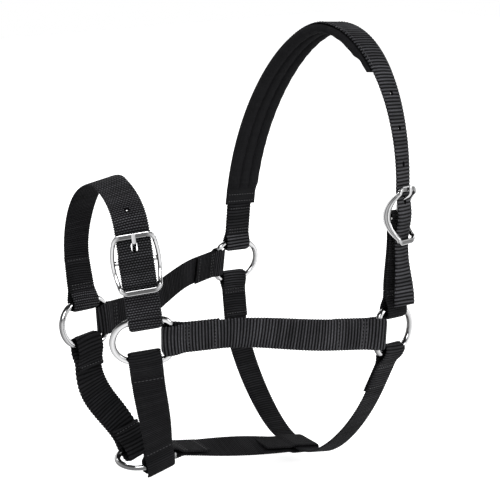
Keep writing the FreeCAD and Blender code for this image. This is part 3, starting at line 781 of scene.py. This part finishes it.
def straps():
    """Every strap's path and what it replaces: name, body, parts, material, fold points."""
    found = []

    def sewn(name, a, bar_a, b, bar_b, back, weave):
        start = strap_end(a, bar_a, None, bar_of(b, bar_b)[0])
        finish = strap_end(b, bar_b, None, bar_of(a, bar_a)[0])
        reach = np.linalg.norm(finish.at(u=back) - start.at(u=back)) / 3
        knots = [end_knot(start, back, reach, True), end_knot(finish, back, reach, False)]
        parts = [
            bar_loop(start, WIRE, SLACK, back, back, False), middle_of(knots),
            bar_loop(finish, WIRE, SLACK, back, back, True),
        ]
        found.append((name, "harness", parts, weave, [start, finish]))

    def chin_strap(name, start, finish, weave):
        reach = np.linalg.norm(finish.at(u=CHIN_TURN_BACK) - start.at(u=CHIN_TURN_BACK)) / 3
        knots = [end_knot(start, CHIN_TURN_BACK, reach, True), end_knot(finish, CHIN_TURN_BACK, reach, False)]
        loops = [
            loop_line(
                e, WIRE / 2 + SKEW_SIDE_GAP, WIRE / 2 + SKEW_SLACK, SKEW_STRAIGHT, SKEW_CLOSE,
                CHIN_TURN_BACK, CHIN_TURN_BACK, arriving,
            ) for e, arriving in ((start, False), (finish, True))
        ]
        found.append((name, "harness", [loops[0], middle_of(knots), loops[1]], weave, [start, finish]))

    sewn("near_cheek_strap", near_nose, "middle", near_cheek, "middle", TURN_BACK, BOLD)
    sewn("far_cheek_strap", far_nose, "middle", far_cheek, "middle", TURN_BACK, PLAIN)
    chin_strap("near_chin_strap", *near_chin_ends, QUIET)
    chin_strap("far_chin_strap", *far_chin_ends, BROAD)
    return found


step = STEP


def facing(path, share):
    """Which way a positive roll turns a path's outer face: 1 away from the near side, -1 towards it."""
    return 1 if path.v[int(len(path.s) * share)] @ vec(-0.57, -0.76, 0.31) > 0 else -1


for seed, (name, body, parts, weave, ends) in enumerate(straps()):
    path = Path(parts, step)
    if name == "far_chin_strap":
        clear = CHIN_TURN_BACK + 12
        path.nudge(clear, path.length - clear, (-2.7, 1.4, -1.7), 15 * facing(path, 0.5))
    folds = [path.nearest(e.at(u=FOLD_AT)) for e in ends]
    ob = webbing("web_" + name, path, weave, seed, corners=folds, tucked=(TUCKED, TUCKED))
    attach(ob, body)
    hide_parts(name)

slope = turned(X, Z, THROAT_SLOPE)
down = -np.cross(slope, Y)
low = vec(89, 0, -153)
inner = low - down * STRAP_THICK / 2
near_t = strap_end(near_cheek, "bottom", THROAT_LEAVE_NEAR)
far_t = strap_end(far_cheek, "bottom", THROAT_LEAVE_FAR)
across_flat = THROAT_FLAT * 2 / 3
knots = [
    end_knot(near_t, TURN_BACK, THROAT_REACH, True),
    Knot(inner - Y * THROAT_FLAT, Y, down, THROAT_LOW_REACH, across_flat),
    Knot(inner + Y * THROAT_FLAT, Y, down, across_flat, THROAT_LOW_REACH),
    end_knot(far_t, TURN_BACK, THROAT_REACH, False),
]
path = Path([
    bar_loop(near_t, WIRE, SLACK, TURN_BACK, TURN_BACK, False), middle_of(knots),
    bar_loop(far_t, WIRE, SLACK, TURN_BACK, TURN_BACK, True),
], step)
folds = [path.nearest(e.at(u=FOLD_AT)) for e in (near_t, far_t)]
ob = webbing("web_throat_strap", path, PLAIN, 11, corners=folds, tucked=(TUCKED, TUCKED))
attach(ob, "harness")
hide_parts("throat_strap")

rear = Frame(low, -slope, np.cross(down, -slope), down)
front = strap_end(chin, "middle", None, rear.at(u=STRAP_WIDTH))
half = STRAP_WIDTH / 2
end = half + JAW_BACK
knots = [end_knot(front, TURN_BACK, JAW_REACH, True), end_knot(rear, end, JAW_REACH, False)]
path = Path([
    bar_loop(front, WIRE, SLACK, TURN_BACK, TURN_BACK, False), middle_of(knots),
    loop_line(rear, STRAP_THICK / 2 + 0.5, half + 1.2, half + 1.0, half + JAW_SHUT, end, end, True),
], step)
middle = len(path.s) // 2
sense = math.copysign(1, path.v[middle, 1] * path.n[middle, 2])
path.nudge(TURN_BACK + 8, path.length - 52, (0, 0, 0), 18 * sense)
ob = webbing("web_jaw_strap", path, QUIET, 12, corners=[path.nearest(front.at(u=FOLD_AT))])
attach(ob, "harness")
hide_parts("jaw_strap")


def billet_knots(b, chape, tail):
    """A strap's points through its buckle: at both end bars, over the centre bar, and at its cut end."""
    end_at = chape - TAIL_SHORT
    high = BILLET_LIFT + BILLET_CROWN
    places = [(HALF_LENGTH, BILLET_LIFT), (0, high), (-HALF_LENGTH, BILLET_LIFT), (-end_at, tail)]
    steps = [a[0] - c[0] for a, c in zip(places, places[1:])]
    outs, ins = [x / 3 for x in steps] + [0], [0] + [x / 3 for x in steps]
    return [Knot(b.at(u=u, n=n), -b.u, b.n, i, o) for (u, n), i, o in zip(places, ins, outs)]


def billet(name, start, reach, apex, b, chape, tail, reach_near, weave, seed, holes):
    knots = billet_knots(b, chape, tail)
    knots[0].i = reach_near
    knots = [end_knot(start, TURN_BACK, reach, True), apex] + knots
    path = Path([bar_loop(start, WIRE, SLACK, TURN_BACK, TURN_BACK, False), middle_of(knots)], step)
    if name == "nose_strap":
        path.nudge(TURN_BACK + 25, TURN_BACK + 140, (2.4, -1.8, -0.4))
    else:
        path.nudge(path.length - 42, path.length + 42, (0, 0, 0), -15 * facing(path, 0.95))
    ob = webbing("web_" + name, path, weave, seed, corners=[path.nearest(start.at(u=FOLD_AT))])
    in_use = path.length - (chape - TAIL_SHORT) - HOLE_AT
    for i in range(holes):
        s = in_use - i * HOLE_PITCH
        punch(ob, path, s, HOLE_STRETCH if i == 0 else 0.0, i > 0)
    bend_at_ring(ob, start)
    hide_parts(name)


def bend_at_ring(ob, end):
    """Bakes the object's transform into its mesh; nothing is bent here and the object is not attached to a
    body.
    """
    first = end.at(u=6)
    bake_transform(ob)


def punch(ob, path, s, stretch, free):
    """Cuts a hole through webbing. A hole with no tongue in it has nearly closed again half way through."""
    c = path.at(s)
    u, v, n = unit(path.at(s + 1) - c), path.at(s, 1.0) - c, path.at(s, 0.0, 1.0) - c
    wide = HOLE_WIDTH / 2
    profile = [(3.0, wide), (0.3, wide - 0.3), (0.2, 0.6), (-0.2, 0.6), (-0.3, wide - 0.3), (-3.0, wide)]
    if not free:
        profile = [profile[0], profile[-1]]
    m = 28
    verts = []
    for height, r in profile:
        for k, t in enumerate(np.linspace(0, 2 * math.pi, m, endpoint=False)):
            rough = r * (1 + 0.05 * math.sin(5 * t + 3 * height))
            a = rough * math.cos(t) + math.copysign(stretch / 2, math.cos(t))
            verts.append(c + u * a + v * rough * math.sin(t) + n * height)
    faces = [list(range(m)), list(range(len(verts) - m, len(verts)))[::-1]]
    for r in range(len(profile) - 1):
        for i in range(m):
            k = (i + 1) % m
            faces.append([r * m + k, r * m + i, (r + 1) * m + i, (r + 1) * m + k])
    cutter = mesh_object("cutter", verts, faces, web_back)
    fix_normals(cutter)
    mod = ob.modifiers.new("punch", "BOOLEAN")
    mod.operation = "DIFFERENCE"
    mod.solver = "EXACT"
    mod.object = cutter
    bpy.context.view_layer.objects.active = ob
    bpy.ops.object.modifier_apply(modifier="punch")
    bpy.data.objects.remove(cutter)


def arch(point, tilt, dip, reach):
    width = turned(X, Z, tilt)
    ahead = turned(-Y, -Z, dip)
    return Knot(point, ahead, np.cross(ahead, width), reach, reach)


nose_apex = arch(vec(-97, 0.5, 120.5), 12, 20, NOSE_REACH_APEX)
crown_apex = arch(vec(117, -6, 225), -4, 0, CROWN_REACH_APEX)
billet(
    "nose_strap", nose_far, NOSE_REACH_FAR, nose_apex, nose_b, NOSE_CHAPE, NOSE_TAIL,
    NOSE_REACH_NEAR, CHECKED, 21, 2,
)
billet(
    "crown_strap", crown_far, CROWN_REACH_FAR, crown_apex, crown_b, CROWN_CHAPE, CROWN_TAIL,
    CROWN_REACH_NEAR, TOP, 22, 4,
)


def chape(name, end, b, weave, seed):
    """The doubled strap that carries a buckle, one length of webbing round both bars."""
    back = Frame(b.o, -b.u, -b.v, b.n)
    length = np.linalg.norm(b.o - end.o)
    reach = (length - 2 * CHAPE_RUN) / 3
    knots = [end_knot(end, CHAPE_RUN, reach, True), end_knot(back, CHAPE_RUN, reach, False)]
    outer, w = middle_of(knots, STRAP_THICK / 2)
    behind, _ = middle_of(knots, -STRAP_THICK / 2)
    parts = [
        (behind[::-1], -w[::-1]), bar_loop(end, WIRE, SLACK, CHAPE_RUN, CHAPE_RUN, False),
        (outer, w), bar_loop(back, BAR, BAR_SLACK, CHAPE_RUN, CHAPE_RUN, True),
    ]
    path = Path(parts, step)
    ob = webbing("web_" + name, path, weave, seed, corners=[path.nearest(end.at(u=FOLD_AT))])
    # Slot for the tongue
    n, u, v = b.n, b.u, b.v
    corners = [b.at(x, y, z) for z in (-9, 9) for x, y in ((-5, -2.6), (9, -2.6), (9, 2.6), (-5, 2.6))]
    faces = [[3, 2, 1, 0], [4, 5, 6, 7], [0, 1, 5, 4], [1, 2, 6, 5], [2, 3, 7, 6], [3, 0, 4, 7]]
    cutter = mesh_object("cutter", corners, faces, web_back)
    mod = ob.modifiers.new("slot", "BOOLEAN")
    mod.operation = "DIFFERENCE"
    mod.solver = "EXACT"
    mod.object = cutter
    bpy.context.view_layer.objects.active = ob
    bpy.ops.object.modifier_apply(modifier="slot")
    bpy.data.objects.remove(cutter)
    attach(ob, "harness")
    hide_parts(name)


chape("nose_chape", nose_near, nose_b, CHECKED, 31)
chape("crown_chape", crown_near, crown_b, QUIET, 32)

for name, ring in (
    ("near_nose_ring", near_nose), ("far_nose_ring", far_nose), ("near_cheek_ring", near_cheek),
    ("far_cheek_ring", far_cheek), ("chin_ring", chin),
):
    ob = tube("metal_" + name, ring_line(ring), WIRE / 2, chrome, normal=ring.n)
    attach(ob, name + "_body")
    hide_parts(name)

for name, b in (("crown", crown_b), ("nose", nose_b)):
    for kind, make in (("buckle", buckle), ("tongue", tongue)):
        ob = make("metal_%s_%s" % (name, kind), b)
        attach(ob, "%s_%s_body" % (name, kind))
        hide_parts("%s_%s" % (name, kind))

pad_knots = [
    end_knot(crown_far, TURN_BACK, CROWN_REACH_FAR, True), crown_apex,
    billet_knots(crown_b, CROWN_CHAPE, CROWN_TAIL)[0],
]
pad_knots[2].i = CROWN_REACH_NEAR
pad_path = Path([middle_of(pad_knots, 0.0)], 0.8)


def pad_section(place, crown_share):
    """Across the padding: flat against the strap, three crowned channels, and sides that bulge."""
    edge = min(place - PAD_START, PAD_STOP - place)
    q = min(1.0, max(0.0, (edge - PAD_BAND) / PAD_RAMP))
    full = q * q * (3 - 2 * q)
    thick = PAD_END_THICK + (PAD_THICK - PAD_END_THICK) * full
    crown = (PAD_CROWN + 0.5) * full * crown_share
    low = -PAD_GAP - thick + 0.5 * full * (1 - crown_share)
    half = PAD_WIDTH / 2
    pts = [(v, -PAD_GAP) for v in np.linspace(-half, half, 14)]
    rise = -PAD_GAP - (low + PAD_CROWN * full)
    for t in np.linspace(0, 1, 8)[1:-1]:
        pts.append((half + 0.9 * math.sin(math.pi * t), -PAD_GAP - rise * t))
    for k in range(3):
        right = half - 2 * half / 3 * k
        for t in np.linspace(0, 1, 13)[:-1]:
            at_channel = (k > 0 or t > 0.5) and (k < 2 or t < 0.5)
            dip = 0.9 * full * math.exp(-(min(t, 1 - t) / 0.09) ** 2) * at_channel
            bulge = crown * (math.sin(math.pi * t) ** 0.8) - dip
            pts.append((right - 2 * half / 3 * t, low + PAD_CROWN * full - bulge))
    for t in np.linspace(1, 0, 8)[:-1]:
        pts.append((-half - 0.9 * math.sin(math.pi * t), -PAD_GAP - rise * t))
    return pts


def make_pad():
    """The padded cover, swelled by a short cloth simulation between its sewn seams."""
    places = np.arange(PAD_START, PAD_STOP + 0.01, 1.5)
    rows = [pad_section(p, 0.8) for p in places]
    count = len(rows[0])
    sections = np.array(rows)
    s = np.repeat(places[:, None], count, 1)
    pucker = np.where(np.arange(count) >= 20, 1.0, 0.0)
    wave = 0.16 * np.sin(s / 2.1 + 0.8 * np.sin(s / 9)) * pucker
    verts = pad_path.at(s, sections[..., 0], sections[..., 1] + wave)
    sides = np.linalg.norm(np.diff(sections[len(rows) // 2], axis=0), axis=1)
    around = np.concatenate([[0], np.cumsum(sides)])
    uv = np.stack([s / 0.9, np.repeat(around[None], len(rows), 0) / 0.9], -1)
    idx = np.arange(len(rows) * count).reshape(len(rows), count)
    nxt = np.roll(idx, -1, 1)
    quads = np.stack([idx[:-1], nxt[:-1], nxt[1:], idx[1:]], -1).reshape(-1, 4)
    faces = quads.tolist() + [idx[0][::-1].tolist(), idx[-1].tolist()]
    ob = mesh_object("pad_cover", verts.reshape(-1, 3), faces, pad_cloth, uv.reshape(-1, 2))
    fix_normals(ob)
    seams = {20 + 12 * k for k in range(4)}
    low_end, high_end = PAD_START + PAD_BAND + 1, PAD_STOP - PAD_BAND - 1
    held = [
        int(i) for r, p in enumerate(places) for c, i in enumerate(idx[r])
        if c < 14 or c in seams or not low_end < p < high_end
    ]
    group = ob.vertex_groups.new(name="sewn")
    group.add(held, 1.0, "REPLACE")
    cloth = ob.modifiers.new("cloth", "CLOTH")
    settings = cloth.settings
    settings.quality = 6
    settings.mass = 0.15
    settings.tension_stiffness = settings.compression_stiffness = 18
    settings.shear_stiffness = 6
    settings.bending_stiffness = 0.2
    settings.use_pressure = True
    settings.uniform_pressure_force = 4
    settings.vertex_group_mass = "sewn"
    settings.pin_stiffness = 1
    settings.effector_weights.gravity = 0
    cloth.collision_settings.use_collision = False
    cloth.point_cache.frame_start, cloth.point_cache.frame_end = 1, 20
    before = np.zeros(len(ob.data.vertices) * 3)
    ob.data.vertices.foreach_get("co", before)
    for f in range(1, 21):
        bpy.context.scene.frame_set(f)
    shown = ob.evaluated_get(bpy.context.evaluated_depsgraph_get()).to_mesh()
    after = np.zeros_like(before)
    shown.vertices.foreach_get("co", after)
    ob.modifiers.remove(cloth)
    bpy.context.scene.frame_set(1)
    move = (after - before).reshape(-1, 3)
    size = np.linalg.norm(move, axis=1)[:, None]
    print("pad moved by up to", round(float(size.max()) * 1000, 2), "mm")
    move *= np.minimum(1, 0.0008 / np.maximum(size, 1e-9))
    ob.data.vertices.foreach_set("co", (before.reshape(-1, 3) + move).ravel())
    ob.data.update()
    ob.vertex_groups.remove(group)
    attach(ob, "headpiece")
    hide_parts("crown_pad_cover", "crown_pad_foam")
    return ob


make_pad()


def stitches(name, body, rows, on=None):
    """Sewing thread. Each row is a stitch: its middle, direction, normal and length.
    on, if given, is an end passed to bend_at_ring instead of attaching the thread to body.
    """
    verts, faces = [], []
    lat = np.linspace(0, math.pi, 6)
    lon = np.linspace(0, 2 * math.pi, 8, endpoint=False)
    for p, d, n, length in rows:
        side = np.cross(n, d)
        start = len(verts)
        for a in lat:
            for b in lon:
                outward = side * (math.cos(b) * 0.42) + n * (math.sin(b) * 0.34)
                verts.append(p - d * (math.cos(a) * length / 2) + outward * math.sin(a))
        for i in range(5):
            for j in range(8):
                k = (j + 1) % 8
                row = start + i * 8
                faces.append([row + j, row + k, row + 8 + k, row + 8 + j])
    ob = mesh_object(name, verts, faces, thread)
    fix_normals(ob)
    if on:
        bend_at_ring(ob, on)
    else:
        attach(ob, body)
    return ob


def across(end, u, n, width=STRAP_WIDTH - 3.5, length=2.0, pitch=2.9):
    """A row of stitches across a strap, on its outer (n > 0) or inner face."""
    out = end.n * np.sign(n)
    return [(end.at(u, v, n), end.v, out, length) for v in np.arange(-width / 2 + 1, width / 2, pitch)]


def lengthwise(end, v, start, stop, n, length=2.2, pitch=3.1):
    out = end.n * np.sign(n)
    return [(end.at(u, v, n), end.u, out, length) for u in np.arange(start, stop, pitch)]


def sewn_end(end, at=(11.0, 16.0), box=None):
    rows = []
    for n in (SEWN_FACE, -SEWN_FACE):
        for u in at:
            rows += across(end, u, n)
        if box:
            for v in (-9.6, 9.6):
                rows += lengthwise(end, v, box[0], box[1], n)
    return rows


ends = {
    "near_cheek_strap": [strap_end(near_nose, "middle", None, bar_of(near_cheek, "middle")[0]),
                         strap_end(near_cheek, "middle", None, bar_of(near_nose, "middle")[0])],
    "far_cheek_strap": [strap_end(far_nose, "middle", None, bar_of(far_cheek, "middle")[0]),
                        strap_end(far_cheek, "middle", None, bar_of(far_nose, "middle")[0])],
    "throat_strap": [near_t, far_t],
    "jaw_strap": [front],
    "crown_strap": [crown_far],
    "nose_strap": [nose_far],
    "near_chin_strap": near_chin_ends,
    "far_chin_strap": far_chin_ends,
}
rows_at = {"near_cheek_strap": (10.5, 13.5), "near_chin_strap": (17.0,), "far_chin_strap": (17.0,)}
for name, list_of_ends in ends.items():
    body = {"crown_strap": "headpiece", "nose_strap": "noseband"}.get(name, "harness")
    rows = []
    for end in list_of_ends:
        rows += sewn_end(end, rows_at.get(name, (11.0, 14.0)))
        if "chin" not in name:
            rows += sewn_end(end, (34.0,))
    if name == "crown_strap":
        for v in (-10.6, 10.6):
            for s0 in np.arange(PAD_START + 2, PAD_STOP - 1, 3.2):
                c = pad_path.at(s0)
                u = unit(pad_path.at(s0 + 1) - c)
                side, out = pad_path.at(s0, 1.0) - c, pad_path.at(s0, 0.0, 1.0) - c
                rows.append((c + side * v + out * SEWN_FACE, u, out, 2.3))
    stitches("stitch_" + name, body, rows, None if body == "harness" else list_of_ends[0])
stitches("stitch_nose_chape", "harness", sewn_end(nose_near, (12.5, 15.5)))
rows = sewn_end(crown_near, (12.5, 15.5))
rows += lengthwise(crown_near, 1.5, 17, CROWN_CHAPE - 14, SEWN_FACE)
stitches("stitch_crown_chape", "harness", rows)

rows = []
for s0 in (PAD_START + 3.0, PAD_START + PAD_BAND - 1.5, PAD_STOP - 3.0, PAD_STOP - PAD_BAND + 1.5):
    c = pad_path.at(s0)
    u = unit(pad_path.at(s0 + 1) - c)
    v = pad_path.at(s0, 1.0) - c
    n = -(pad_path.at(s0, 0.0, 1.0) - c)
    for x in np.arange(-13.5, 13.6, 2.9):
        rows.append((c + v * x + n * (PAD_GAP + PAD_END_THICK + 0.02), v, n, 2.0))
stitches("stitch_pad", "headpiece", rows)

# Camera, light and backdrop
scene = bpy.context.scene
cam_data = bpy.data.cameras.new("camera")
camera = bpy.data.objects.new("camera", cam_data)
scene.collection.objects.link(camera)
AZ, EL, DIST = math.radians(-37.1), math.radians(17.8), 0.9
target = vec(0.0107, -0.0308, 0.056) - POLL * 0.001
back = vec(math.sin(AZ) * math.cos(EL), -math.cos(AZ) * math.cos(EL), math.sin(EL))
camera.location = target + back * DIST
camera.rotation_euler = Vector(back).to_track_quat("Z", "Y").to_euler()
cam_data.sensor_width = 36.0
cam_data.lens = 80.86
scene.camera = camera
scene.view_settings.view_transform = "Standard"

world = bpy.data.worlds.new("world")
scene.world = world
world.use_nodes = True
nt = world.node_tree
bg = nt.nodes["Background"]
# White round the horizon, as the camera and the metal see it, under a darker ceiling that the lamps hang from
lp = nt.nodes.new("ShaderNodeLightPath")
seen = math_node(nt, "MAXIMUM", lp.outputs["Is Camera Ray"], lp.outputs["Is Transmission Ray"])
seen = math_node(nt, "MAXIMUM", seen, lp.outputs["Is Glossy Ray"])
coords = nt.nodes.new("ShaderNodeTexCoord")
split = nt.nodes.new("ShaderNodeSeparateXYZ")
link(nt, coords.outputs["Generated"], split.inputs[0])
height = math_node(nt, "ADD", math_node(nt, "MULTIPLY", split.outputs[2], 0.5), 0.5)
ceiling = ((0.0, 1), (0.64, 1), (0.72, 0.25), (0.9, 0.06), (1.0, 0.06))
shown = ramp(nt, height, [(k, (g, g, g)) for k, g in ceiling])
cast = ramp(nt, height, [(k, (g, g, g)) for k, g in ((0.0, 0.45), (0.5, 0.45), (0.7, 0.6), (1.0, 0.75))])
mixer = nt.nodes.new("ShaderNodeMix")
mixer.data_type = "RGBA"
link(nt, seen, mixer.inputs[0])
link(nt, cast, mixer.inputs[6])
link(nt, shown, mixer.inputs[7])
link(nt, mixer.outputs[2], bg.inputs["Color"])
bg.inputs["Strength"].default_value = 1.0

floor_z = cad_box[0][2] - 0.012
me = bpy.data.meshes.new("floor")
me.from_pydata([(-3, -3, floor_z), (3, -3, floor_z), (3, 3, floor_z), (-3, 3, floor_z)], [], [(0, 1, 2, 3)])
floor = bpy.data.objects.new("floor", me)
scene.collection.objects.link(floor)
fm, fnt, fb = nodes_of("floor")
fb.inputs["Base Color"].default_value = (0.85, 0.85, 0.85, 1)
fb.inputs["Roughness"].default_value = 0.9
flp = fnt.nodes.new("ShaderNodeLightPath")
mix = fnt.nodes.new("ShaderNodeMixShader")
em = fnt.nodes.new("ShaderNodeEmission")
em.inputs["Color"].default_value = (1, 1, 1, 1)
fsee = math_node(fnt, "MAXIMUM", flp.outputs["Is Glossy Ray"], flp.outputs["Is Transmission Ray"])
link(fnt, fsee, mix.inputs[0])
link(fnt, fb.outputs[0], mix.inputs[1])
link(fnt, em.outputs[0], mix.inputs[2])
lift = fnt.nodes.new("ShaderNodeEmission")
lift.inputs["Color"].default_value = (1, 1, 1, 1)
link(fnt, math_node(fnt, "MULTIPLY", flp.outputs["Is Camera Ray"], 0.6), lift.inputs["Strength"])
both = fnt.nodes.new("ShaderNodeAddShader")
link(fnt, mix.outputs[0], both.inputs[0])
link(fnt, lift.outputs[0], both.inputs[1])
link(fnt, both.outputs[0], fnt.nodes["Material Output"].inputs["Surface"])
me.materials.append(fm)


def area(name, where, size, power):
    light = bpy.data.lights.new(name, "AREA")
    light.shape = "RECTANGLE"
    light.size, light.size_y = size
    light.energy = power
    ob = bpy.data.objects.new(name, light)
    scene.collection.objects.link(ob)
    ob.location = vec(*where) - POLL * 0.001
    ob.rotation_euler = (Vector(where) - Vector((0, 0, 0.03))).to_track_quat("Z", "Y").to_euler()


area("key", (-0.7, -1.1, 1.3), (1.0, 0.8), 16)
area("fill", (1.1, -0.9, 0.7), (0.8, 0.8), 8)
area("rim", (0.3, 1.3, 1.0), (1.0, 0.6), 10)
